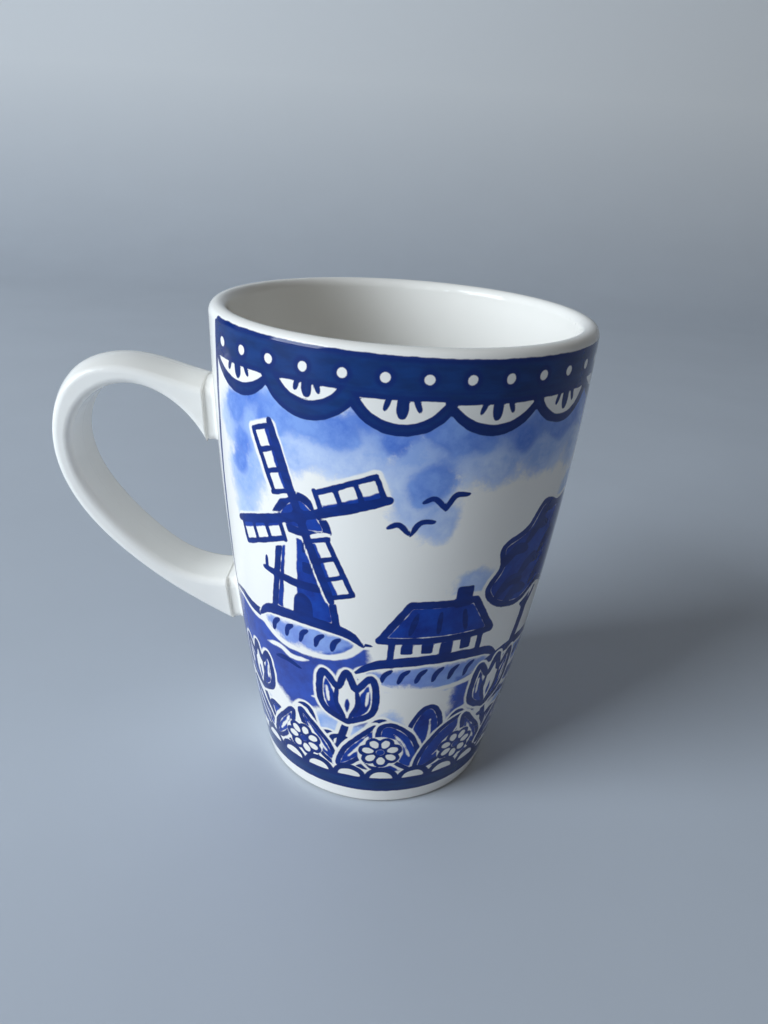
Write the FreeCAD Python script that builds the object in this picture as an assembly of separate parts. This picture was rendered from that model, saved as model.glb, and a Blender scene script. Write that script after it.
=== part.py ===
import FreeCAD, Part
import math
import os

# A tall glazed ceramic mug: a cup that widens upward, with an ear-shaped handle
# stuck on at one side. The cup is cast or jiggered, the handle is joined to it
# with slip before the firing, so the finished mug is one solid.
# Origin: centre of the foot, on the table. +Z is up, and the handle points to -X.

# Cup, millimetres
HEIGHT = 120.0
RIM_RADIUS = 44.0
FOOT_RADIUS = 30.2
SIDE_RADIUS = 640.0        # the side bulges outward a little, as one long arc
WALL = 4.2                 # the lip is a half round of this thickness
FLOOR = 5.0
FLOOR_FILLET = 9.0

# Foot ring under the cup
FOOT_RECESS = 2.2
FOOT_RING_WIDTH = 4.6
FOOT_EDGE_RADIUS = 1.4
RING_EDGE_RADIUS = 0.9

# Handle: its place on the cup, and how far out from the rim's radius it reaches
HANDLE_BELOW_RIM = 19.1    # from the rim down to the top of the upper end
HANDLE_HEIGHT = 65.3       # from there down to the bottom of the lower end
HANDLE_REACH = 36.3        # out to the middle of the bow
UPPER_END_HEIGHT = 14.9
LOWER_END_HEIGHT = 13.2

# The ear from its upper end down: way out as a part of the reach, way down as a
# part of the height, and thickness
HANDLE_SECTIONS = (
    (0.209, 0.031, 6.9),
    (0.512, -0.015, 5.6),
    (0.835, 0.037, 7.3),
    (1.000, 0.205, 6.2),
    (0.967, 0.398, 5.9),
    (0.791, 0.567, 6.1),
    (0.548, 0.706, 5.9),
    (0.270, 0.816, 6.6),
)
HANDLE_WIDTH = 15.6
CROWN = 2.0                # the outer face falls by this from its middle to its sides
HANDLE_EDGE_RADIUS = 1.7
CUT_OVER = 1.0             # a cutting body reaches past the handle by this

# Collar of slip between each handle end and the cup's wall
COLLAR_LENGTH = 2.4
COLLAR_INSET = 0.7         # the handle's end stands out beside the collar by this
COLLAR_STEP = 0.2          # and above and below it by this
COLLAR_CROWN = 2.3
COLLAR_EDGE_RADIUS = 2.4
COLLAR_FILLET = 1.3
COLLAR_ROOT = 1.6          # how far the collar runs into the wall

AXIS = FreeCAD.Vector(0, 0, 1)
ACROSS = FreeCAD.Vector(0, 1, 0)


# The side's arc
def side_centre():
    """Centre (radius, height) of the arc from the foot's edge to the lip."""
    foot = FreeCAD.Vector(FOOT_RADIUS, 0, 0)
    lip = FreeCAD.Vector(RIM_RADIUS, 0, HEIGHT - WALL / 2)
    chord = lip - foot
    half = chord.Length / 2
    inward = FreeCAD.Vector(-chord.z, 0, chord.x).normalize()
    return foot + chord * 0.5 + inward * math.sqrt(SIDE_RADIUS ** 2 - half ** 2)


def side_x(z, inset=0.0):
    """Radius at height z of the surface that lies inset inside the cup's outside."""
    centre = side_centre()
    return centre.x + math.sqrt((SIDE_RADIUS - inset) ** 2 - (z - centre.z) ** 2)


def profile_point(x, z):
    return FreeCAD.Vector(x, 0, z)


def round_corner(centre, radius, start, end):
    """Arc round centre between two directions, in degrees up from outward."""
    points = []
    for angle in (start, (start + end) / 2, end):
        turn = math.radians(angle)
        points.append(centre + profile_point(math.cos(turn), math.sin(turn)) * radius)
    return Part.Arc(*points)


def side_angle(z, inset):
    """Direction from the side's centre to the concentric arc's point at height z."""
    return math.degrees(math.asin((z - side_centre().z) / (SIDE_RADIUS - inset)))


# Cup: one profile with round corners, revolved
def make_cup():
    lip_z = HEIGHT - WALL / 2
    floor_z = FOOT_RECESS + FLOOR
    ring_x = FOOT_RADIUS - FOOT_RING_WIDTH
    foot_z = FOOT_EDGE_RADIUS
    foot = profile_point(side_x(foot_z, FOOT_EDGE_RADIUS), foot_z)
    corner_z = floor_z + FLOOR_FILLET
    corner = profile_point(side_x(corner_z, WALL + FLOOR_FILLET), corner_z)
    ring = profile_point(ring_x + RING_EDGE_RADIUS, RING_EDGE_RADIUS)
    lip = profile_point(side_x(lip_z, WALL / 2), lip_z)
    lip_arc = round_corner(lip, WALL / 2, 0, 180)
    foot_turn = side_angle(foot_z, FOOT_EDGE_RADIUS)
    foot_arc = round_corner(foot, FOOT_EDGE_RADIUS, -90, foot_turn)
    corner_turn = side_angle(corner_z, WALL + FLOOR_FILLET)
    corner_arc = round_corner(corner, FLOOR_FILLET, corner_turn, -90)
    ring_arc = round_corner(ring, RING_EDGE_RADIUS, 180, 270)
    middle = (floor_z + lip_z) / 2
    outside = Part.Arc(foot_arc.EndPoint, profile_point(side_x(middle), middle), lip_arc.StartPoint)
    inside_middle = profile_point(side_x(middle, WALL), middle)
    inside = Part.Arc(lip_arc.EndPoint, inside_middle, corner_arc.StartPoint)
    recess_centre = profile_point(0, FOOT_RECESS)
    recess_edge = profile_point(ring_x, FOOT_RECESS)
    floor_centre = profile_point(0, floor_z)
    outline = [
        Part.LineSegment(recess_centre, recess_edge),
        Part.LineSegment(recess_edge, ring_arc.StartPoint),
        ring_arc,
        Part.LineSegment(ring_arc.EndPoint, foot_arc.StartPoint),
        foot_arc,
        outside,
        lip_arc,
        inside,
        corner_arc,
        Part.LineSegment(corner_arc.EndPoint, floor_centre),
        Part.LineSegment(floor_centre, recess_centre),
    ]
    profile = Part.Face(Part.Wire([piece.toShape() for piece in outline]))
    return profile.revolve(FreeCAD.Vector(), AXIS, 360)


# Handle: an ear-shaped bar with a crowned outer face and rounded edges, cut off
# square at both joints
def joint_point(z):
    """Point in the handle's plane where its end face stands off the wall."""
    return profile_point(-side_x(z) - COLLAR_LENGTH, z)


def spline(points):
    curve = Part.BSplineCurve()
    curve.interpolate(points)
    return curve


def handle_lines():
    """Points of the handle's outer and inner line, from the upper joint down."""
    top = HEIGHT - HANDLE_BELOW_RIM
    bottom = top - HANDLE_HEIGHT
    upper_outer = joint_point(top)
    upper_inner = joint_point(top - UPPER_END_HEIGHT)
    lower_inner = joint_point(bottom + LOWER_END_HEIGHT)
    lower_outer = joint_point(bottom)
    middles = [
        profile_point(-RIM_RADIUS - out * HANDLE_REACH, top - down * HANDLE_HEIGHT)
        for out, down, _ in HANDLE_SECTIONS
    ]
    ends = (upper_outer + upper_inner) * 0.5, (lower_inner + lower_outer) * 0.5
    centre_line = spline([ends[0]] + middles + [ends[1]])
    outer = [upper_outer]
    inner = [upper_inner]
    for middle, (_, _, thickness) in zip(middles, HANDLE_SECTIONS):
        along = centre_line.tangent(centre_line.parameter(middle))[0]
        outward = FreeCAD.Vector(along.z, 0, -along.x).normalize()
        outer.append(middle + outward * (thickness / 2))
        inner.append(middle - outward * (thickness / 2))
    outer.append(lower_outer)
    inner.append(lower_inner)
    return outer, inner


def long_line(points, over, lift=0.0):
    """Smooth edge through points moved outward by lift, run on past both ends by over."""
    curve = spline(points)
    lifted = []
    for point in points:
        along = curve.tangent(curve.parameter(point))[0]
        lifted.append(point + FreeCAD.Vector(along.z, 0, -along.x).normalize() * lift)
    start = lifted[0] - curve.tangent(curve.FirstParameter)[0] * over
    end = lifted[-1] + curve.tangent(curve.LastParameter)[0] * over
    return spline([start] + lifted + [end]).toShape()


def first_point(edge):
    return edge.valueAt(edge.FirstParameter)


def last_point(edge):
    return edge.valueAt(edge.LastParameter)


def crown_drop(half):
    """How far the crowned face has fallen at this distance from its middle."""
    radius = ((HANDLE_WIDTH / 2) ** 2 + CROWN ** 2) / (2 * CROWN)
    return radius - math.sqrt(radius ** 2 - half ** 2)


def make_crown(outer):
    """What lies outside the crowned face: the space over an arc swept along its line."""
    path = long_line(outer, 2.5 * COLLAR_LENGTH)
    start = first_point(path)
    along = path.tangentAt(path.FirstParameter)
    outward = FreeCAD.Vector(along.z, 0, -along.x)
    half = ACROSS * (HANDLE_WIDTH / 2 + CUT_OVER)
    low = start - outward * crown_drop(half.Length)
    high = start + outward * 2 * CUT_OVER
    section = Part.Wire([
        Part.Arc(low - half, start, low + half).toShape(),
        Part.LineSegment(low + half, high + half).toShape(),
        Part.LineSegment(high + half, high - half).toShape(),
        Part.LineSegment(high - half, low - half).toShape(),
    ])
    return Part.Wire(path).makePipeShell([section], True, False)


def joint_frame(outer, inner):
    """Directions up along a joint's plane and from it into the wall."""
    up = (outer - inner).normalize()
    inward = FreeCAD.Vector(abs(up.z), 0, -up.x * math.copysign(1, up.z))
    return up, inward


def beyond_joint(outer, inner):
    """A block on the wall's side of the joint between these two points."""
    up, inward = joint_frame(outer, inner)
    deep = inward * 6 * COLLAR_LENGTH
    high = outer + up * HANDLE_WIDTH
    low = inner - up * HANDLE_WIDTH
    outline = Part.makePolygon([high, low, low + deep, high + deep, high])
    outline.translate(ACROSS * -HANDLE_WIDTH)
    return Part.Face(outline).extrude(ACROSS * 2 * HANDLE_WIDTH)


def long_edges(bar):
    """The four long curved edges along the bar's two sides."""
    found = []
    for edge in bar.Edges:
        on_side = abs(abs(first_point(edge).y) - HANDLE_WIDTH / 2) < 0.01
        if on_side and edge.Length > 3 * HANDLE_WIDTH:
            found.append(edge)
    return found


def make_handle():
    outer, inner = handle_lines()
    back = long_line(outer, 2 * COLLAR_LENGTH, CUT_OVER)
    front = long_line(inner[::-1], 2 * COLLAR_LENGTH)
    outline = Part.Wire([
        back,
        Part.LineSegment(last_point(back), first_point(front)).toShape(),
        front,
        Part.LineSegment(last_point(front), first_point(back)).toShape(),
    ])
    outline.translate(ACROSS * (-HANDLE_WIDTH / 2))
    bar = Part.Face(outline).extrude(ACROSS * HANDLE_WIDTH)
    bar = bar.cut(make_crown(outer)).Solids[0]
    bar = bar.makeFillet(HANDLE_EDGE_RADIUS, long_edges(bar))
    return bar.cut([beyond_joint(outer[0], inner[0]), beyond_joint(outer[-1], inner[-1])])


# Collars: the band of slip that each handle end sits on
def make_collar(outer, inner):
    """A block with the handle's crown, narrower than its end, run into the wall."""
    up, inward = joint_frame(outer, inner)
    half = ACROSS * (HANDLE_WIDTH / 2 - COLLAR_INSET)
    low = inner + up * COLLAR_STEP
    high = outer - up * COLLAR_STEP
    shoulder = high - up * COLLAR_CROWN
    outline = Part.Wire([
        Part.LineSegment(low - half, low + half).toShape(),
        Part.LineSegment(low + half, shoulder + half).toShape(),
        Part.Arc(shoulder + half, high, shoulder - half).toShape(),
        Part.LineSegment(shoulder - half, low - half).toShape(),
    ])
    block = Part.Face(outline).extrude(inward * (COLLAR_LENGTH + COLLAR_ROOT))
    runs = [e for e in block.Edges if abs(e.tangentAt(e.FirstParameter).dot(inward)) > 0.999]
    return block.makeFillet(COLLAR_EDGE_RADIUS, runs)


def wall_edges(shape):
    """The edges where a collar meets the cup's outside."""
    found = []
    for edge in shape.Edges:
        step = (edge.LastParameter - edge.FirstParameter) / 4
        points = [edge.valueAt(edge.FirstParameter + step * k) for k in range(5)]
        on_wall = all(abs(math.hypot(p.x, p.y) - side_x(p.z)) < 0.01 for p in points)
        if on_wall and all(abs(p.y) < HANDLE_WIDTH and p.x < 0 for p in points):
            found.append(edge)
    return found


def make_mug():
    outer, inner = handle_lines()
    collars = [make_collar(outer[0], inner[0]), make_collar(outer[-1], inner[-1])]
    mug = make_cup().fuse(collars)
    mug = mug.makeFillet(COLLAR_FILLET, wall_edges(mug))
    return mug.fuse(make_handle()).removeSplitter()


os.makedirs("parts", exist_ok=True)
mug = make_mug()
solid = mug.Solids[0]
solid.exportStep("parts/mug.step")
box = solid.optimalBoundingBox()
print("solids", len(mug.Solids), "valid", solid.isValid(), "volume cm3", round(solid.Volume / 1000, 1))
print("x", round(box.XMin, 2), round(box.XMax, 2))
print("y", round(box.YMin, 2), round(box.YMax, 2))
print("z", round(box.ZMin, 2), round(box.ZMax, 2))
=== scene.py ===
import math

import bpy
import numpy as np
from mathutils import Matrix, Vector


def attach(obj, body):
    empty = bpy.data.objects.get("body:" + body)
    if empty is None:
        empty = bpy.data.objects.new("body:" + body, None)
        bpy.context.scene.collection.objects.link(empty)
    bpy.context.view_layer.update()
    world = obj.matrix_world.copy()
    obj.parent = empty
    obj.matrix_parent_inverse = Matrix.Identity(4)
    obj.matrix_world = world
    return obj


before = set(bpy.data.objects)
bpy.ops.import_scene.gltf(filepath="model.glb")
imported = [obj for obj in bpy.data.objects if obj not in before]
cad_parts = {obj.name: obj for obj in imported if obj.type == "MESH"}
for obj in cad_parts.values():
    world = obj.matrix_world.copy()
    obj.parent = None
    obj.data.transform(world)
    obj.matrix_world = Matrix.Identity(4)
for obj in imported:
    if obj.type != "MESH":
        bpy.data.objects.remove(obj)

scene = bpy.context.scene
scene.view_settings.view_transform = "Standard"
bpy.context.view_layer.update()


# Camera: where the photograph was taken from, close to the mug and looking down at
# it, a little rolled. Worked out from the outlines of the rim, side, foot and handle.
VIEW_YAW, VIEW_PITCH, VIEW_ROLL = -0.00819, 0.42423, 0.0677
VIEW_PLACE = (0.0, -0.184781, 0.151383)
VIEW_LENS, SENSOR = 27.8424, 36    # focal length and sensor width, mm
NEAREST = 0.01                     # nothing closer than this is drawn, m

ahead = Vector((
    math.sin(VIEW_YAW) * math.cos(VIEW_PITCH),
    math.cos(VIEW_YAW) * math.cos(VIEW_PITCH),
    -math.sin(VIEW_PITCH),
))
level = Vector((math.cos(VIEW_YAW), -math.sin(VIEW_YAW), 0))
upright = level.cross(ahead)
right = math.cos(VIEW_ROLL) * level + math.sin(VIEW_ROLL) * upright
above = -math.sin(VIEW_ROLL) * level + math.cos(VIEW_ROLL) * upright

camera = bpy.data.objects.new("camera", bpy.data.cameras.new("camera"))
camera.data.lens = VIEW_LENS
camera.data.sensor_width = SENSOR
camera.data.clip_start = NEAREST
camera.matrix_world = Matrix((
    (right.x, above.x, -ahead.x, VIEW_PLACE[0]),
    (right.y, above.y, -ahead.y, VIEW_PLACE[1]),
    (right.z, above.z, -ahead.z, VIEW_PLACE[2]),
    (0, 0, 0, 1),
))
scene.collection.objects.link(camera)
scene.camera = camera


# Mug: cast white earthenware with the handle stuck on, dipped in clear glaze and
# fired. The glaze is smooth and wet-looking, a little wavy, and has a few specks.
# The foot ring was wiped clean, so it shows the bare, dry body of the clay.
GLAZE_ROUGHNESS, CLAY_ROUGHNESS = 0.09, 0.85    # wet-looking, and dry as chalk
GLAZE_IOR, GLAZE_SPECULAR = 1.52, 0.25          # glassy, its shine matched to the real mug's
GLAZE_ROUNDING = 0.0005                         # thick glaze softens each edge by this, m


def linear(code):
    """Linear RGBA of an sRGB colour written as six hex digits."""
    parts = [int(code[k:k + 2], 16) / 255 for k in (0, 2, 4)]
    return [c / 12.92 if c <= 0.04045 else ((c + 0.055) / 1.055) ** 2.4 for c in parts] + [1.0]


def add(tree, kind, inputs, **settings):
    """A new node with these settings, and inputs that are values or sockets to link."""
    node = tree.nodes.new(kind)
    for key, value in settings.items():
        setattr(node, key, value)
    for key, value in inputs.items():
        if isinstance(value, bpy.types.NodeSocket):
            tree.links.new(value, node.inputs[key])
        else:
            node.inputs[key].default_value = value
    return node


def new_material(name):
    """An empty node material, its tree and its object coordinates."""
    material = bpy.data.materials.new(name)
    material.use_nodes = True
    tree = material.node_tree
    tree.nodes.clear()
    place = add(tree, "ShaderNodeTexCoord", {}).outputs["Object"]
    return material, tree, place


def glaze_surface(tree, place):
    """Colour of bare glaze over the white body, and its wavy normal.

    The colour drifts between two near whites over about 30 mm. Rare brown specks, up
    to 0.5 mm wide, lie in about one of 14 cells of 8 mm. The waves are about 9 mm long
    and a hundredth of a mm high, so that highlights waver a little.
    """
    drift = add(tree, "ShaderNodeTexNoise", {"Vector": place, "Scale": 33.0, "Detail": 2.0})
    body = add(tree, "ShaderNodeMix", {
        0: drift.outputs["Fac"],
        6: linear("F3F2EE"),
        7: linear("EBE9E4"),
    }, data_type="RGBA")
    cells = add(tree, "ShaderNodeTexVoronoi", {"Vector": place, "Scale": 130.0})
    size = add(tree, "ShaderNodeMapRange", {
        "Value": add(tree, "ShaderNodeSeparateColor", {"Color": cells.outputs["Color"]}).outputs[0],
        "From Min": 0.93, "From Max": 1.0, "To Min": 0.0, "To Max": 0.030,
    })
    speck = add(tree, "ShaderNodeMath", {
        0: cells.outputs["Distance"], 1: size.outputs[0],
    }, operation="LESS_THAN")
    faint = add(tree, "ShaderNodeMath", {0: speck.outputs[0], 1: 0.45}, operation="MULTIPLY")
    colour = add(tree, "ShaderNodeMix", {
        0: faint.outputs[0],
        6: body.outputs[2],
        7: linear("8A7A66"),
    }, data_type="RGBA")
    waves = add(tree, "ShaderNodeTexNoise", {"Vector": place, "Scale": 110.0, "Detail": 1.0})
    normal = add(tree, "ShaderNodeBump", {
        "Strength": 0.35, "Distance": 0.00006, "Height": waves.outputs["Fac"],
    })
    return colour.outputs[2], normal


def glazed_earthenware():
    """Glazed earthenware, bare on the foot ring, with the mould's seam down the handle.

    The foot is bare below 0.35 mm outside a radius of 25 mm, where grit of half a mm
    shows in the dry clay. The seam is a ridge 0.9 mm wide along the handle's middle
    plane, where the two mould halves met, and starts 48 mm from the axis, off the cup.
    """
    material, tree, place = new_material("glazed_earthenware")
    colour, waves = glaze_surface(tree, place)
    softened = add(tree, "ShaderNodeBevel", {"Radius": GLAZE_ROUNDING}, samples=6)
    tree.links.new(softened.outputs[0], waves.inputs["Normal"])
    axes = add(tree, "ShaderNodeSeparateXYZ", {"Vector": place})
    beside = add(tree, "ShaderNodeMath", {0: axes.outputs["Y"]}, operation="ABSOLUTE")
    ridge = add(tree, "ShaderNodeMapRange", {
        "Value": beside.outputs[0], "From Min": 0.0, "From Max": 0.00045, "To Min": 1.0, "To Max": 0.0,
    }, interpolation_type="SMOOTHSTEP")
    outside = add(tree, "ShaderNodeMapRange", {
        "Value": axes.outputs["X"], "From Min": -0.050, "From Max": -0.047, "To Min": 1.0, "To Max": 0.0,
    })
    seam = add(tree, "ShaderNodeMath", {0: ridge.outputs[0], 1: outside.outputs[0]}, operation="MULTIPLY")
    normal = add(tree, "ShaderNodeBump", {
        "Strength": 0.5, "Distance": 0.00006, "Height": seam.outputs[0], "Normal": waves.outputs[0],
    })
    low = add(tree, "ShaderNodeMapRange", {
        "Value": axes.outputs["Z"], "From Min": 0.00025, "From Max": 0.0005, "To Min": 1.0, "To Max": 0.0,
    })
    flat = add(tree, "ShaderNodeCombineXYZ", {"X": axes.outputs["X"], "Y": axes.outputs["Y"]})
    radius = add(tree, "ShaderNodeVectorMath", {0: flat.outputs[0]}, operation="LENGTH")
    ring = add(tree, "ShaderNodeMath", {0: radius.outputs["Value"], 1: 0.025}, operation="GREATER_THAN")
    bare = add(tree, "ShaderNodeMath", {0: low.outputs[0], 1: ring.outputs[0]}, operation="MULTIPLY")
    grit = add(tree, "ShaderNodeTexNoise", {"Vector": place, "Scale": 1800.0, "Detail": 3.0})
    clay = add(tree, "ShaderNodeMix", {
        0: grit.outputs["Fac"], 6: linear("D8C8AE"), 7: linear("C3B092"),
    }, data_type="RGBA")
    colour = add(tree, "ShaderNodeMix", {
        0: bare.outputs[0], 6: colour, 7: clay.outputs[2],
    }, data_type="RGBA")
    gloss = add(tree, "ShaderNodeMapRange", {
        "Value": bare.outputs[0], "To Min": GLAZE_ROUGHNESS, "To Max": CLAY_ROUGHNESS,
    })
    shader = add(tree, "ShaderNodeBsdfPrincipled", {
        "Base Color": colour.outputs[2],
        "Roughness": gloss.outputs[0],
        "Normal": normal.outputs[0],
        "IOR": GLAZE_IOR,
        "Specular IOR Level": GLAZE_SPECULAR,
    })
    add(tree, "ShaderNodeOutputMaterial", {"Surface": shader.outputs[0]})
    return material


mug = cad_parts["mug"]
glaze = glazed_earthenware()
for slot in mug.material_slots:
    slot.material = glaze


# Print: a cobalt blue transfer that goes round the cup from one side of the handle
# to the other and is fired under the glaze. It is drawn with a brush: a scalloped
# border with dots at the rim, small arches at the foot, and a river scene between.
FOOT_R, RIM_R, LIP_Z, SIDE_R, LIP_R = 30.2, 44.0, 117.9, 640.0, 2.1    # the cup's profile, mm
PRINT_PROUD = 0.06     # the print's face stands this far off the cup's, mm
PRINT_DEPTH = 0.35     # and its back lies this far inside the wall
PRINT_PITCH = 0.43     # points of its face are this far apart, under half a stroke's width
PRINT_LOW = 3.0        # height where its sheets begin
LIP_TURN = 50          # degrees that they go round the lip, in this many points:
LIP_POINTS = 5
BACK_STEP = 16         # the back needs only every 16th point
SHEETS = (("print_front", -69.0, 90.0), ("print_back", 90.0, 249.0))    # azimuths, degrees


def cup_profile():
    """Radius and height, mm, of points up the outside, and their outward normals.

    The side is an arc of radius SIDE_R through the foot's edge and the lip's start.
    Above the lip's start the line goes round the lip, an arc of radius LIP_R.
    """
    half = math.hypot(RIM_R - FOOT_R, LIP_Z) / 2
    reach = math.sqrt(SIDE_R ** 2 - half ** 2) / (2 * half)
    centre = np.array([
        (FOOT_R + RIM_R) / 2 - LIP_Z * reach,
        LIP_Z / 2 + (RIM_R - FOOT_R) * reach,
    ])
    low = math.asin((PRINT_LOW - centre[1]) / SIDE_R)
    high = math.asin((LIP_Z - centre[1]) / SIDE_R)
    turn = np.linspace(low, high, int(LIP_Z / PRINT_PITCH))
    side = np.stack((np.cos(turn), np.sin(turn)), 1)
    turn = np.linspace(0, math.radians(LIP_TURN), LIP_POINTS + 1)[1:]
    lip = np.stack((np.cos(turn), np.sin(turn)), 1)
    lip_centre = centre + SIDE_R * side[-1] - (LIP_R, 0)
    points = np.concatenate((centre + SIDE_R * side, lip_centre + LIP_R * lip))
    return points, np.concatenate((side, lip))


profile, profile_out = cup_profile()

# From the top ink down: strokes, crisp fills, bare glaze, then deep, middle and pale wash
LAYERS = ("band", "line", "deep", "white", "pool", "mid", "wash")
NO_INK = 9.0    # distance where no shape is near, mm
MARGIN = 4      # a shape's distances are worked out this far round it, mm


class Drawing:
    """Ink on the cup's outside, as layers of signed distance in mm, below 0 inside.

    A spot is an azimuth in degrees, 0 in front and 90 on the right, and a height.
    Shapes are given in mm to the right of and above their spot, so they keep their
    size and stay upright on the cup.
    """

    def __init__(self, start, end):
        columns = int(math.radians(end - start) * RIM_R / PRINT_PITCH)
        azimuth, row = np.meshgrid(
            np.linspace(start, end, columns), np.arange(len(profile)), indexing="ij"
        )
        self.azimuth = azimuth.ravel()
        self.radius = profile[row.ravel(), 0]
        self.height = profile[row.ravel(), 1]
        self.layers = {name: np.full(self.azimuth.size, NO_INK) for name in LAYERS}

    def near(self, spot, low, high, scale=1.0):
        """Indices of the points in a box round a spot, with its margin, and their place."""
        x = np.radians(self.azimuth - spot[0]) * self.radius / scale
        y = (self.height - spot[1]) / scale
        inside = (x > low[0] - MARGIN) & (x < high[0] + MARGIN)
        inside &= (y > low[1] - MARGIN) & (y < high[1] + MARGIN)
        pick = np.flatnonzero(inside)
        return pick, x[pick, None], y[pick, None]

    def put(self, layer, pick, distance):
        """Adds a shape to a layer, or cuts it out of one whose name starts with a minus."""
        values = self.layers[layer.lstrip("-")]
        if layer.startswith("-"):
            values[pick] = np.maximum(values[pick], -distance)
        else:
            values[pick] = np.minimum(values[pick], distance)

    def brush(self, layers, spot, points, width, scale=1.0, thin=0.45):
        """A brush line through points, thinner at its ends.

        At a share t of the way along, it is width * (1 - thin * |2t - 1| ** 3) wide.
        """
        line = smooth(points, False)
        pick, x, y = self.near(spot, line.min(0), line.max(0), scale)
        start, run = line[:-1], np.diff(line, axis=0)
        length = np.maximum((run ** 2).sum(1), 1e-9)
        along = ((x - start[:, 0]) * run[:, 0] + (y - start[:, 1]) * run[:, 1]) / length
        along = np.clip(along, 0, 1)
        off = np.hypot(x - start[:, 0] - along * run[:, 0], y - start[:, 1] - along * run[:, 1])
        share = (np.arange(len(run)) + along) / len(run)
        half = width / 2 * (1 - thin * np.abs(2 * share - 1) ** 3)
        for layer in layers.split():
            self.put(layer, pick, (off * scale - half).min(1))

    def patch(self, layers, spot, points, grow=0.0, scale=1.0, sharp=False):
        """A filled shape whose edge runs through points, smooth or with sharp corners."""
        line = np.asarray(points, float) if sharp else smooth(points, True)
        pick, x, y = self.near(spot, line.min(0), line.max(0), scale)
        start, end = line, np.roll(line, -1, 0)
        run = end - start
        length = np.maximum((run ** 2).sum(1), 1e-9)
        along = ((x - start[:, 0]) * run[:, 0] + (y - start[:, 1]) * run[:, 1]) / length
        along = np.clip(along, 0, 1)
        off = np.hypot(x - start[:, 0] - along * run[:, 0], y - start[:, 1] - along * run[:, 1])
        rise = np.where(run[:, 1] == 0, 1e-9, run[:, 1])
        meets = x < start[:, 0] + (y - start[:, 1]) * run[:, 0] / rise
        odd = (((start[:, 1] > y) != (end[:, 1] > y)) & meets).sum(1) % 2
        distance = off.min(1) * scale * np.where(odd == 1, -1, 1) - grow
        for layer in layers.split():
            self.put(layer, pick, distance)

    def disc(self, layers, spot, radius):
        """A filled circle."""
        pick, x, y = self.near(spot, (-radius, -radius), (radius, radius))
        for layer in layers.split():
            self.put(layer, pick, np.hypot(x, y)[:, 0] - radius)


def smooth(points, closed):
    """Chords of a Catmull-Rom curve through points: each span is cut into 6."""
    p = np.asarray(points, float)
    if closed:
        p = np.concatenate((p[-1:], p, p[:2]))
    else:
        p = np.concatenate((2 * p[:1] - p[1:2], p, 2 * p[-1:] - p[-2:-1]))
    a, b, c, d = (p[k:len(p) - 3 + k, None] for k in range(4))
    t = np.linspace(0, 1, 6, endpoint=False)[None, :, None]
    spans = b + 0.5 * t * (c - a + t * (2 * a - 5 * b + 4 * c - d + t * (3 * (b - c) + d - a)))
    line = spans.reshape(-1, 2)
    return line if closed else np.concatenate((line, p[-2:-1]))


BAND_LOW, BAND_TOP = 111.0, 118.6    # the rim's band lies between these heights, mm
FOOT_LOW, FOOT_TOP = 4.6, 9.6        # the foot's band lies between these
WASH_TOP, SCENE_LOW = 110, 12.4      # washes end at the first, the scene's strokes at the second
# What repeats along the bands: its number, its spacing in degrees, its radii in mm
SCALLOPS, SCALLOP_STEP, SCALLOP_R = 13, 24.6, 12.1
DOTS, DOT_STEP, DOT_R, DOT_HEIGHT = 30, 10.6, 1.0, 114.5
ARCHES, ARCH_STEP, ARCH_R, GAP_R = 22, 14.4, 4.3, 2.5


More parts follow.
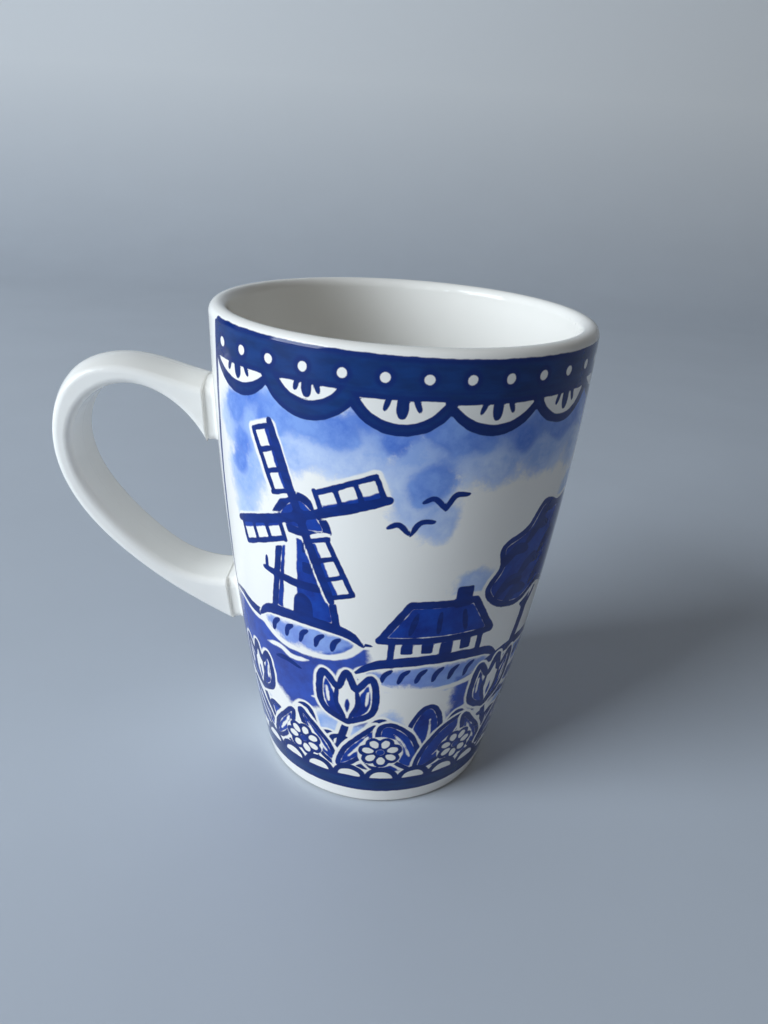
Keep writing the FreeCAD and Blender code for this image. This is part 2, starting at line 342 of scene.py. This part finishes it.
def draw_borders(d):
    """The rim's band with its dots and scallops, and the foot's band of small arches.

    Each scallop is a disc that hangs from the band, with a white half-moon in it that
    holds three short drops. Each arch is a half disc that stands on the foot's band,
    with a white half disc in it.
    """
    top = BAND_TOP - 0.5 * np.sin(np.radians(d.azimuth))
    rim_band = np.maximum(BAND_LOW - d.height, d.height - top)
    for name in ("wash", "mid", "pool"):
        d.layers[name] = np.maximum(d.layers[name], d.height - WASH_TOP)
    d.layers["band"] = np.minimum(d.layers["band"], rim_band)
    # From the centre line of each: half-moon's half width, its flat top, its depth,
    # and the height of the scallop's lowest point
    kinds = ((8.7, 111.2, 3.2, 105.2), (6.4, 111.4, 3.2, 104.2), (8.2, 110.3, 4.6, 103.3),
             (8.7, 109.7, 4.1, 103.3), (7.7, 109.9, 4.4, 103.7))
    for k in range(SCALLOPS):
        half, flat, depth, lowest = kinds[k % 5]
        spot = (-47.9 + SCALLOP_STEP * k, 0.0)
        pick, x, y = d.near(spot, (-14, 99), (14, 117))
        x, y = x[:, 0], y[:, 0]
        disc = np.hypot(x, y - lowest - SCALLOP_R) - SCALLOP_R
        d.put("band", pick, np.maximum(disc, y - BAND_LOW - 2))
        round_r = (half ** 2 + depth ** 2) / (2 * depth)
        moon = np.maximum(np.hypot(x, y - flat + depth - round_r) - round_r, y - flat)
        d.put("-band", pick, moon)
        d.put("white", pick, moon - 0.6)
        for turn, wide, long in ((-1, 1.2, 0.40), (0, 2.3, 0.60), (1, 1.2, 0.40)):
            drop = [(turn * half * 0.30, 0.6), (turn * half * 0.40, -depth * long)]
            d.brush("band", (spot[0], flat), drop, wide, thin=0.25)
    for k in range(DOTS):
        pick, x, y = d.near((-56.3 + DOT_STEP * k, DOT_HEIGHT), (-2, -2), (2, 2))
        d.put("-band", pick, np.hypot(x, y)[:, 0] - DOT_R)
    foot_band = np.maximum(d.height - FOOT_TOP, FOOT_LOW - d.height)
    d.layers["band"] = np.minimum(d.layers["band"], foot_band)
    for name in ("deep", "line"):
        d.layers[name] = np.maximum(d.layers[name], SCENE_LOW - d.height)
    d.layers["white"] = np.minimum(d.layers["white"], d.height - SCENE_LOW)
    for k in range(ARCHES):
        pick, x, y = d.near((-53.2 + ARCH_STEP * k, FOOT_TOP), (-5, -1), (5, 5))
        x, y = x[:, 0], y[:, 0]
        d.put("band", pick, np.maximum(np.hypot(x, y) - ARCH_R, -y - 1))
        d.put("-band", pick, np.maximum(np.hypot(x * 0.88, y) - GAP_R, 0.1 - y))


def draw_leaf(d, spot, turn, length, width):
    """An oval leaf that points turn degrees right of up, outlined, with a pale streak."""
    out = np.array([math.sin(math.radians(turn)), math.cos(math.radians(turn))])
    wide = np.array([out[1], -out[0]]) * width / 2
    leaf = [out * 0.3, out * length * 0.3 + wide * 0.8, out * length * 0.68 + wide,
            out * length * 0.96 + wide * 0.4, out * length * 0.96 - wide * 0.4,
            out * length * 0.68 - wide, out * length * 0.3 - wide * 0.8]
    d.patch("white -deep -line", spot, leaf, 1.5)
    d.patch("line", spot, leaf, 0.8)
    d.patch("-line deep", spot, leaf, -0.6)
    vein = [out * length * 0.30 + wide * 0.2, out * length * 0.56 + wide * 0.34,
            out * length * 0.80 + wide * 0.2]
    d.brush("-deep", spot, vein, 0.6)


def draw_tulip(d, spot, scale=1.0, lean=0.0):
    """A tulip 27 mm high on a bent stem with two leaves."""
    top = (lean * 4, 14)
    stem = [(0, 0), (lean * 1.2, 7), top]
    d.brush("white -deep", spot, stem, 4.0, scale, thin=0.1)
    d.brush("line", spot, stem, 2.0, scale, thin=0.2)
    for side in (-1, 1):
        leaf = [(side * 0.2, 0), (side * 2.8, 1.2), (side * 6.6, 6.0), (side * 8.6, 12.8),
                (side * 5.6, 10.0), (side * 2.0, 5.4)]
        d.patch("white -deep -line", spot, leaf, 1.7, scale)
        d.patch("line", spot, leaf, 0.9, scale)
        d.patch("-line deep", spot, leaf, -0.5, scale)
        d.brush("-deep", spot, [(side * 2.4, 3.0), (side * 5.0, 6.6), (side * 6.8, 9.8)], 0.7, scale)
    cup = np.array([(-0.6, 0), (-4.8, 2.6), (-5.9, 7.0), (-5.0, 12.4), (-1.9, 9.0), (0, 13.2),
                    (1.9, 9.0), (5.0, 12.4), (5.9, 7.0), (4.8, 2.6), (0.6, 0)]) + top
    d.patch("white -line -deep", spot, cup, 1.7, scale)
    d.patch("line", spot, cup, 1.0, scale)
    d.patch("-line", spot, cup, -0.8, scale)
    for side in (-1, 1):
        petal = np.array([(side * 1.0, 0.8), (side * 4.3, 3.0), (side * 5.2, 7.0), (side * 4.5, 11.0),
                          (side * 2.5, 7.4)]) + top
        d.patch("deep", spot, petal, -0.3, scale)
        fold = np.array([(side * 0.4, 0.6), (side * 2.2, 4.6), (side * 2.1, 8.8)]) + top
        d.brush("line", spot, fold, 1.3, scale)
        d.brush("-deep", spot, np.array([(side * 3.9, 4.6), (side * 4.4, 8.6)]) + top, 0.7, scale)
    d.brush("deep", spot, np.array([(0.0, 2.2), (0.1, 6.4)]) + top, 1.0, scale, thin=0.8)


def draw_flower(d, spot, scale=1.0):
    """A flower with seven white petals round a blue heart, 12 mm across."""
    d.disc("white -deep -line", spot, 6.9 * scale)
    for layer, grow in (("line", 0.8), ("-line", -0.25)):
        for k in range(7):
            turn = 2 * math.pi * k / 7 + spot[0]
            out = np.array([math.cos(turn), math.sin(turn)])
            wide = np.array([-out[1], out[0]])
            petal = [out * 1.6, out * 3.6 + wide * 1.6, out * 5.6 + wide * 0.9,
                     out * 5.6 - wide * 0.9, out * 3.6 - wide * 1.6]
            d.patch(layer, spot, petal, grow, scale)
    d.disc("line", spot, 2.2 * scale)
    d.disc("-line deep", spot, 1.3 * scale)


def draw_mill(d, spot, scale=1.0, turn=0.35):
    """A round windmill, 26 mm to its cap, with four lattice sails 17 mm long."""
    body = [(-7.0, 0), (-4.1, 20), (4.1, 20), (7.0, 0)]
    d.patch("white -deep -line", spot, body, 2.0, scale, sharp=True)
    d.patch("line", spot, body, 1.0, scale, sharp=True)
    d.patch("-line deep", spot, body, -0.8, scale, sharp=True)
    d.patch("-deep", spot, [(-4.8, 1.0), (-3.0, 18.6), (-0.6, 18.6), (-1.4, 1.0)], 0, scale, sharp=True)
    d.patch("line", spot, [(-1.6, 0), (-1.6, 4), (0, 5.6), (1.6, 4), (1.6, 0)], 0.4, scale)
    for height in (11.0, 15.2):
        pane = [(0.6, height), (0.6, height + 1.8), (2.2, height + 1.8), (2.2, height)]
        d.patch("line", spot, pane, 0.3, scale, sharp=True)
    d.brush("white", spot, [(-9.8, 8.2), (0, 7.6), (9.8, 8.2)], 4.4, scale, thin=0.1)
    d.brush("line", spot, [(-9.4, 8.4), (0, 7.8), (9.4, 8.4)], 2.1, scale)
    for x in (-8.6, -5.8, 5.8, 8.6):
        d.brush("line", spot, [(x, 8.4), (x * 0.99, 11.2)], 1.1, scale)
    cap = [(-5.4, 19.4), (-4.4, 23.8), (0, 26.8), (4.4, 23.8), (5.4, 19.4)]
    d.patch("white -deep -line", spot, cap, 1.4, scale)
    d.patch("line", spot, cap, 0.5, scale)
    d.patch("-line deep", spot, cap, -1.4, scale)
    hub = np.array([0.0, 22.4])
    for k in range(4):
        out = np.array([math.cos(turn + k * math.pi / 2), math.sin(turn + k * math.pi / 2)])
        wide = np.array([-out[1], out[0]])
        sail = [hub + out * 5, hub + out * 17, hub + out * 17 + wide * 4.8, hub + out * 5 + wide * 4.0]
        d.patch("white -line -deep", spot, sail, 1.5, scale, sharp=True)
        pale = [hub + out * 5, hub + out * 17, hub + out * 17 + wide * 2.2, hub + out * 5 + wide * 1.8]
        d.patch("deep", spot, pale, -0.4, scale, sharp=True)
        d.brush("line", spot, [hub - out * 1.5, hub + out * 9, hub + out * 17.8], 2.2, scale, thin=0.25)
        d.brush("line", spot, [sail[3], sail[2]], 1.3, scale, thin=0.1)
        for step in (5, 9, 13, 17):
            d.brush("line", spot, [hub + out * step, hub + out * step + wide * 4.4], 1.2, scale, thin=0.1)
    d.disc("line", (spot[0], spot[1] + hub[1] * scale), 1.9)


def draw_farm(d, spot, scale=1.0):
    """A low farmhouse, 22 mm long, with a deep thatched roof and a chimney."""
    wall = [(-9, -0.5), (-9, 5), (9, 5), (9, -0.5)]
    roof = [(-11.6, 4.4), (-6.5, 12.8), (6.5, 12.8), (11.6, 4.4)]
    for shape in (wall, roof):
        d.patch("white -deep -line", spot, shape, 2.2, scale, sharp=True)
    d.patch("line", spot, wall, 1.0, scale, sharp=True)
    d.patch("-line", spot, wall, -0.6, scale, sharp=True)
    d.patch("line", spot, roof, 1.0, scale, sharp=True)
    d.patch("-line deep", spot, roof, -0.9, scale, sharp=True)
    for x in (-5.0, -0.4, 4.4):
        d.brush("line", spot, [(x * 1.2, 6.0), (x, 10.8)], 1.3, scale)
    d.patch("line", spot, [(2.4, 12), (2.4, 16), (5.2, 16), (5.2, 12)], 0.4, scale, sharp=True)
    for x in (-6.2, -2.2, 5.8):
        pane = [(x - 0.9, 1.4), (x - 0.9, 3.4), (x + 0.9, 3.4), (x + 0.9, 1.4)]
        d.patch("line", spot, pane, 0.3, scale, sharp=True)
    d.patch("line", spot, [(0.6, 0), (0.6, 3.4), (2.8, 3.4), (2.8, 0)], 0.3, scale, sharp=True)


def draw_tree(d, spot, scale=1.0):
    """A round tree, 27 mm high, with a dark crown of leafy dabs."""
    d.brush("white -deep", spot, [(-0.6, 0), (0.2, 6), (-0.2, 12)], 5.0, scale, thin=0.1)
    d.brush("line", spot, [(-0.8, 0), (0.2, 6), (-0.2, 12)], 2.8, scale, thin=0.1)
    d.brush("line", spot, [(0, 6), (3.4, 10.5)], 1.5, scale)
    d.brush("line", spot, [(0, 7), (-3.4, 11)], 1.5, scale)
    crown = [(-8.4, 10.8), (-11.2, 14.0), (-9.4, 17.6), (-9.8, 21.4), (-5.2, 23.4), (-2.0, 27.0),
             (3.0, 25.4), (7.6, 25.2), (8.8, 20.6), (11.4, 16.8), (8.6, 13.4), (7.0, 9.8), (2.4, 11.2),
             (-2.8, 9.4)]
    d.patch("white -deep -line", spot, crown, 1.6, scale)
    d.patch("line", spot, crown, 0.6, scale)
    d.patch("-line deep", spot, crown, -1.0, scale)
    for x, y in ((-6.6, 13.8), (-7.0, 19.4), (-2.4, 16.4), (-2.2, 22.4), (1.8, 13.6), (2.4, 19.2),
                 (6.6, 16.6), (5.8, 22.0), (-4.6, 11.6), (-0.4, 25.0)):
        d.brush("line", spot, [(x - 2.3, y - 1.4), (x, y + 0.7), (x + 2.5, y + 0.2)], 3.0, scale)


def draw_bird(d, spot):
    """A far bird, 9 mm from wing tip to wing tip, in two strokes that meet."""
    d.brush("line", spot, [(-4.6, 1.6), (-2.4, 2.4), (0, 0)], 1.3)
    d.brush("line", spot, [(0, 0), (1.8, 3.0), (4.6, 3.2)], 1.3)


RIVER_R = 36    # the cup's radius at the water, about, mm


def draw_river(d, start, end, low, high):
    """A stretch of deep water between two heights under a bold bank, with ripples."""
    middle = (start + end) / 2
    half = math.radians(end - start) / 2 * RIVER_R
    spot = (middle, low)
    tall = high - low
    across = np.linspace(-half, half, 9)
    bank = [(x, tall + 0.7 * math.sin(1.9 * k)) for k, x in enumerate(across)]
    near_bank = [(x, 2.2 * math.sin(2.3 * k + 1)) for k, x in enumerate(across)]
    d.patch("pool", spot, bank + near_bank[::-1], -1.0)
    d.brush("white", spot, bank, 5.0, thin=0.6)
    d.brush("line", spot, bank, 2.6, thin=0.8)
    for k, x in enumerate(np.linspace(-half + 9, half - 9, max(3, int(half / 6)))):
        y = tall * (0.22 + 0.44 * (k % 2))
        ripple = [(x - 6.4, y), (x - 1.8, y + 0.9), (x + 2, y - 0.5), (x + 6.8, y + 0.4)]
        d.brush("white", spot, ripple, 1.5, thin=0.8)
        d.brush("line", spot, [(x - 3.6, y - 2.8), (x, y - 2.0), (x + 4.4, y - 3.0)], 1.5, thin=0.8)


def draw_bank(d, spot, half):
    """A bank to stand on: one bold stroke along its top, grass and a wash below it."""
    top = [(-half, -4.6), (-half * 0.7, -1.2), (0, 0), (half * 0.7, -0.8), (half, -4.0)]
    d.patch("white -deep -line", spot, top + [(half * 0.5, -9.0), (-half * 0.5, -9.4)], 0.4)
    low = [(-half * 0.86, -4.6), (-half * 0.5, -2.6), (half * 0.5, -2.2), (half * 0.84, -4.2),
           (half * 0.4, -8.2), (-half * 0.4, -8.6)]
    d.patch("-white -pool mid", spot, low)
    d.brush("line", spot, top, 2.8, thin=0.75)
    for k in range(int(half / 2.8)):
        x = -half * 0.66 + 4.0 * k
        d.brush("line", spot, [(x, -6.6), (x + 0.6, -4.4), (x + 2.0, -3.0)], 1.4)


BLOT_JOIN = 1.6    # blots run together over about this distance, mm


def draw_sky(d):
    """Watery blue under the scallops and a few clouds, in blots that run together.

    Blots of azimuth, height and radius join by a smooth minimum of their distances:
    -join * log(sum of exp((radius - distance from the middle) / join)).
    """
    wash = [(-50 + 7.2 * k, 102.5 - 4.5 * math.sin(2.4 * k + 1), 6.4) for k in range(41)]
    wash += [(-48, 87, 6), (-47, 78, 4), (-40, 92, 5), (8, 90, 6), (14, 85, 4), (36, 67, 4),
             (27, 69, 4), (70, 84, 6), (96, 86, 7), (112, 74, 5), (150, 82, 7), (178, 74, 5),
             (207, 86, 8), (240, 80, 7)]
    mid = [(-50 + 7.2 * k, 104.5 - 2.6 * math.sin(3.7 * k + 1), 3.6) for k in range(41)]
    mid += [(-49, 90, 3), (-47, 95, 3), (9, 92, 3), (12, 95, 3), (97, 90, 4), (150, 86, 3),
            (207, 90, 4)]
    for layer, blots in (("wash", wash), ("mid", mid)):
        total = 1e-9
        for azimuth, height, radius in blots:
            x = np.radians(d.azimuth - azimuth) * d.radius
            total = total + np.exp((radius - np.hypot(x, d.height - height)) / BLOT_JOIN)
        d.layers[layer] = np.minimum(d.layers[layer], -BLOT_JOIN * np.log(total))


def draw_ground(d):
    """Dark growth along the arches: a ragged bank of blue with short grass strokes."""
    turn = np.radians(d.azimuth)
    edge = 18.5 + 1.8 * np.sin(9 * turn) + 1.2 * np.sin(17 * turn + 1)
    d.layers["deep"] = np.minimum(d.layers["deep"], d.height - edge)
    edge = 27 + 5.0 * np.sin(5 * turn + 2.0) + 3.0 * np.sin(12 * turn)
    d.layers["wash"] = np.minimum(d.layers["wash"], d.height - edge)
    edge = 20 + 4.0 * np.sin(6 * turn + 1.0) + 3.0 * np.sin(13 * turn)
    d.layers["mid"] = np.minimum(d.layers["mid"], d.height - edge)
    for k in range(62):
        tall = 5.4 + 2.4 * math.sin(2.7 * k)
        d.brush("line", (-64 + 5.1 * k, 12.6), [(-1.0, 0), (-0.4, tall * 0.6), (1.1, tall)], 1.8)


def draw_scene(d):
    """The river scene: mills, farms and trees along the water, tulips in front.

    The plants stand in steps of 34 degrees, and every third tulip is a fan of leaves.
    """
    draw_sky(d)
    for start, end, low, high in ((-70, 0, 29, 53), (28, 74, 28, 43), (80, 124, 30, 50),
                                  (146, 212, 30, 51), (232, 252, 30, 50)):
        draw_river(d, start, end, low, high)
    draw_mill(d, (-26, 57), 1.15)
    draw_farm(d, (19, 50), 1.15)
    draw_tree(d, (56, 46), 1.45)
    draw_farm(d, (98, 52), 1.0)
    draw_mill(d, (136, 53), 1.1, 0.7)
    draw_tree(d, (170, 54), 1.1)
    draw_farm(d, (196, 52), 1.0)
    draw_mill(d, (226, 55), 1.0, 0.2)
    for azimuth, height, half in ((-26, 56.8, 14), (19, 49.4, 18), (56, 46, 13), (98, 51.4, 15),
                                  (136, 52.8, 14), (170, 54, 11), (196, 51.4, 15), (226, 54.8, 13)):
        draw_bank(d, (azimuth, height), half)
    for spot in ((6, 82), (15, 88), (92, 80), (182, 92), (188, 97)):
        draw_bird(d, spot)
    draw_ground(d)
    plants, step = 9, 34
    for k in range(plants):
        spot = (-32 + step * k, 13.5)
        for turn, length in ((8, 17.0), (-44, 14.5), (46, 14.0)):
            draw_leaf(d, spot, turn - 7 * (k % 3), length, 6.2)
    for k in range(plants):
        if k % 3 == 2:
            for turn, length in ((-62, 15.0), (66, 15.5), (2, 22.0), (-30, 19.0), (36, 19.5)):
                draw_leaf(d, (-49 + step * k, 12.5), turn, length, 7.6)
        else:
            draw_tulip(d, (-49 + step * k, 13.5), (1.0, 1.14)[k % 2], (-0.8, 0.6)[k % 3])
    for k in range(plants):
        draw_flower(d, (-31 + step * k, 18.0 + 1.5 * (k % 2)), 0.8)


def draw_edges(d):
    """Cuts all layers off at the transfer's two ends and draws the thin lines there.

    The left end leans with the height, and the right end is its mirror image across
    the plane that halves the handle.
    """
    left = np.interp(d.height, (0, 55, 84, 112, 120), (-67.5, -67.8, -65.4, -61.7, -60.6))
    past = np.maximum(left - d.azimuth, d.azimuth - 180 + left) * math.pi / 180 * d.radius
    for name in LAYERS:
        d.layers[name] = np.maximum(d.layers[name], past)
    span = np.maximum(FOOT_LOW - d.height, d.height - 118.4)
    end_line = np.maximum(np.abs(past) - 0.8, span)
    d.layers["line"] = np.minimum(d.layers["line"], end_line)


def print_sheet(name, start, end):
    """A thin closed shell on the cup's outside between two azimuths, with its ink.

    The front is a grid: point (i, j) has azimuth start + i * step and lies on the
    profile's point j, moved out by PRINT_PROUD. The back follows every 16th point of
    the profile PRINT_DEPTH inside the wall, and strips of faces join the two. A point
    of radius r and azimuth a lies at x = r * sin(a), y = -r * cos(a).
    """
    d = Drawing(start, end)
    draw_scene(d)
    draw_borders(d)
    draw_edges(d)
    rows = len(profile)
    columns = d.azimuth.size // rows
    behind = np.unique(np.append(np.arange(0, rows - LIP_POINTS, BACK_STEP), rows - 1))[::-1]
    back = (profile - profile_out * PRINT_DEPTH)[behind]
    ring = np.concatenate((profile + profile_out * PRINT_PROUD, back))
    ring_out = np.concatenate((profile_out, -profile_out[behind]))
    around = len(ring)
    azimuth = np.radians(np.linspace(start, end, columns))[:, None]
    points = np.stack((ring[:, 0] * np.sin(azimuth), -ring[:, 0] * np.cos(azimuth),
                       np.broadcast_to(ring[:, 1], (columns, around))), -1).reshape(-1, 3) / 1000
    normals = np.stack((ring_out[:, 0] * np.sin(azimuth), -ring_out[:, 0] * np.cos(azimuth),
                        np.broadcast_to(ring_out[:, 1], (columns, around))), -1).reshape(-1, 3)
    i, j = np.meshgrid(np.arange(columns - 1), np.arange(around), indexing="ij")
    a = (i * around + j).ravel()
    b = (i * around + (j + 1) % around).ravel()
    quads = np.stack((a, a + around, b + around, b), 1)
    caps = [list(range(around)), list(range((columns - 1) * around, columns * around))[::-1]]
    mesh = bpy.data.meshes.new(name)
    mesh.from_pydata(points, [], quads.tolist() + caps)
    mesh.shade_smooth()
    mesh.normals_split_custom_set_from_vertices(normals)
    for layer, values in d.layers.items():
        full = np.full((columns, around), NO_INK)
        full[:, :rows] = values.reshape(columns, rows)
        ink = mesh.attributes.new(layer, "FLOAT", "POINT")
        ink.data.foreach_set("value", full.ravel())
    sheet = bpy.data.objects.new(name, mesh)
    scene.collection.objects.link(sheet)
    return sheet


def cobalt_print():
    """Glazed earthenware with the print's inks mixed in by their distance layers.

    A layer turns to ink where its distance passes 0, after a noise has been added, so
    edges waver as a brush's do: by a quarter of a mm for strokes, and by some mm for
    the washes, which blot. White keeps washes off. The band is darker along its edges.
    The waver is 2.4 mm long, the clouds in the washes are 9 mm, and the flecks in the
    dark strokes 6 mm by 2 mm. The ink lies under the glaze, so it shines as the white
    does and has no edge to feel.
    """
    material, tree, place = new_material("cobalt_print_under_glaze")
    colour, normal = glaze_surface(tree, place)
    waver = add(tree, "ShaderNodeTexNoise", {"Vector": place, "Scale": 420.0, "Detail": 2.0})
    cloud = add(tree, "ShaderNodeTexNoise", {
        "Vector": place, "Scale": 110.0, "Detail": 5.0, "Roughness": 0.68,
    })
    flat = add(tree, "ShaderNodeMapping", {"Vector": place, "Scale": (1.0, 1.0, 3.2)})
    flecks = add(tree, "ShaderNodeTexNoise", {
        "Vector": flat.outputs[0], "Scale": 160.0, "Detail": 3.0,
    })
    cloud, waver, flecks = (noise.outputs["Fac"] for noise in (cloud, waver, flecks))

    def ink(layer, noise, ragged, soft, edge=0.0):
        """1 inside a layer's shapes and 0 outside, where the distance passes edge.

        The change is soft mm wide, and the noise moves it by ragged mm either way.
        """
        distance = add(tree, "ShaderNodeAttribute", {}, attribute_name=layer).outputs["Fac"]
        swing = add(tree, "ShaderNodeMath", {0: noise, 1: 0.5}, operation="SUBTRACT")
        shift = add(tree, "ShaderNodeMath", {
            0: swing.outputs[0], 1: 2 * ragged, 2: distance,
        }, operation="MULTIPLY_ADD")
        return add(tree, "ShaderNodeMapRange", {
            "Value": shift.outputs[0], "From Min": edge - soft / 2, "From Max": edge + soft / 2,
            "To Min": 1.0, "To Max": 0.0,
        }, interpolation_type="SMOOTHSTEP").outputs[0]

    def tone(first, second, noise):
        """A colour between two, by a noise stretched to its full range."""
        share = add(tree, "ShaderNodeMapRange", {"Value": noise, "From Min": 0.36, "From Max": 0.64})
        return add(tree, "ShaderNodeMix", {
            0: share.outputs[0], 6: linear(first), 7: linear(second),
        }, data_type="RGBA").outputs[2]

    def over(under, top, share, strength=1.0):
        """One colour laid over another where share is 1, as thickly as strength says."""
        part = add(tree, "ShaderNodeMath", {0: share, 1: strength}, operation="MULTIPLY").outputs[0]
        return add(tree, "ShaderNodeMix", {0: part, 6: under, 7: top}, data_type="RGBA").outputs[2]

    bare = colour
    colour = over(bare, tone("B9CDF0", "7CA2E4", cloud), ink("wash", cloud, 5.5, 3.2), 0.88)
    colour = over(colour, tone("6D96E0", "3B6ACB", cloud), ink("mid", cloud, 4.4, 2.2), 0.85)
    colour = over(colour, tone("184AB4", "0A318C", cloud), ink("pool", cloud, 3.6, 2.2), 0.97)
    colour = over(colour, bare, ink("white", waver, 0.3, 0.5))
    colour = over(colour, tone("0F42A6", "06287E", cloud), ink("deep", waver, 0.4, 0.35))
    colour = over(colour, tone("032C7C", "02246C", flecks), ink("line", waver, 0.25, 0.24))
    colour = over(colour, linear("03266A"), ink("band", waver, 0.2, 0.24))
    colour = over(colour, tone("0A3676", "062C64", flecks), ink("band", waver, 0.3, 0.9, -1.0))
    shader = add(tree, "ShaderNodeBsdfPrincipled", {
        "Base Color": colour,
        "Roughness": GLAZE_ROUGHNESS,
        "Normal": normal.outputs[0],
        "IOR": GLAZE_IOR,
        "Specular IOR Level": GLAZE_SPECULAR,
    })
    add(tree, "ShaderNodeOutputMaterial", {"Surface": shader.outputs[0]})
    return material


cobalt = cobalt_print()
for name, start, end in SHEETS:
    sheet = print_sheet(name, start, end)
    sheet.data.materials.append(cobalt)
    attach(sheet, "root")


# Floor: a plain matt sheet of paper, which lies flat under the mug and sweeps up
# behind it. It isn't part of the object and only catches its shadow.
def matt_paper():
    """Matt paper, a light grey where it lies flat and paler from 0.25 m up.

    Its grain is 70 mm wide and faint, so that the plain surface isn't dead even.
    """
    material, tree, place = new_material("matt_paper")
    grain = add(tree, "ShaderNodeTexNoise", {"Vector": place, "Scale": 14.0, "Detail": 3.0})
    near = add(tree, "ShaderNodeMix", {
        0: grain.outputs["Fac"], 6: linear("C4CCD7"), 7: linear("BCC4CF"),
    }, data_type="RGBA")
    height = add(tree, "ShaderNodeSeparateXYZ", {"Vector": place})
    risen = add(tree, "ShaderNodeMapRange", {
        "Value": height.outputs["Z"], "From Min": 0.0, "From Max": 0.25,
    })
    colour = add(tree, "ShaderNodeMix", {
        0: risen.outputs[0], 6: near.outputs[2], 7: linear("E9EDF1"),
    }, data_type="RGBA")
    shader = add(tree, "ShaderNodeBsdfPrincipled", {
        "Base Color": colour.outputs[2], "Roughness": 0.6,
    })
    add(tree, "ShaderNodeOutputMaterial", {"Surface": shader.outputs[0]})
    return material


def sweep_surface(wide, front, back, radius, tall, steps=24):
    """A floor from y = front to back that turns up in a quarter circle to a wall."""
    turn = np.linspace(0, math.pi / 2, steps)
    y = np.concatenate(([front], back + radius * np.sin(turn), [back + radius]))
    z = np.concatenate(([0.0], radius - radius * np.cos(turn), [tall]))
    points = [(x, b, c) for b, c in zip(y, z) for x in (-wide, wide)]
    faces = [(2 * k, 2 * k + 1, 2 * k + 3, 2 * k + 2) for k in range(len(y) - 1)]
    mesh = bpy.data.meshes.new("floor")
    mesh.from_pydata(points, [], faces)
    mesh.shade_smooth()
    return mesh


sweep = sweep_surface(wide=4.0, front=-2.5, back=0.7, radius=0.6, tall=3.0)
floor = bpy.data.objects.new("floor", sweep)
floor.data.materials.append(matt_paper())
scene.collection.objects.link(floor)


# Light: a wide, cool lamp like a window on the front left, a weak warm one on the
# right, and a world that gives little light of its own.
MUG_MIDDLE = (0, 0, 0.06)


def soft_lamp(name, place, aim, size, power, colour):
    """A rectangular lamp of this size in m and power in W, turned to face aim."""
    lamp = bpy.data.lights.new(name, "AREA")
    lamp.shape = "RECTANGLE"
    lamp.size, lamp.size_y = size
    lamp.energy = power
    lamp.color = colour
    holder = bpy.data.objects.new(name, lamp)
    holder.location = place
    holder.rotation_euler = (Vector(aim) - Vector(place)).to_track_quat("-Z", "Y").to_euler()
    scene.collection.objects.link(holder)


soft_lamp("window", (-1.30, -0.75, 0.72), MUG_MIDDLE, (0.9, 1.1), 33.0, (0.85, 0.93, 1.0))
soft_lamp("fill", (1.2, -0.9, 0.8), MUG_MIDDLE, (1.0, 1.0), 0.5, (1.0, 0.90, 0.80))


def pale_room():
    """A world that lights little, and that is pale where it is looked at or mirrored."""
    world = bpy.data.worlds.new("pale_room")
    world.use_nodes = True
    tree = world.node_tree
    tree.nodes.clear()
    dim = add(tree, "ShaderNodeBackground", {"Color": linear("F2EAE0"), "Strength": 0.10})
    seen = add(tree, "ShaderNodeBackground", {"Color": linear("BCC4CD"), "Strength": 1.0})
    path = add(tree, "ShaderNodeLightPath", {})
    direct = add(tree, "ShaderNodeMath", {
        0: path.outputs["Is Camera Ray"], 1: path.outputs["Is Glossy Ray"],
    })
    looked = add(tree, "ShaderNodeMath", {
        0: direct.outputs[0], 1: path.outputs["Is Transmission Ray"],
    })
    both = add(tree, "ShaderNodeMixShader", {
        0: looked.outputs[0], 1: dim.outputs[0], 2: seen.outputs[0],
    })
    add(tree, "ShaderNodeOutputWorld", {"Surface": both.outputs[0]})
    return world


scene.world = pale_room()
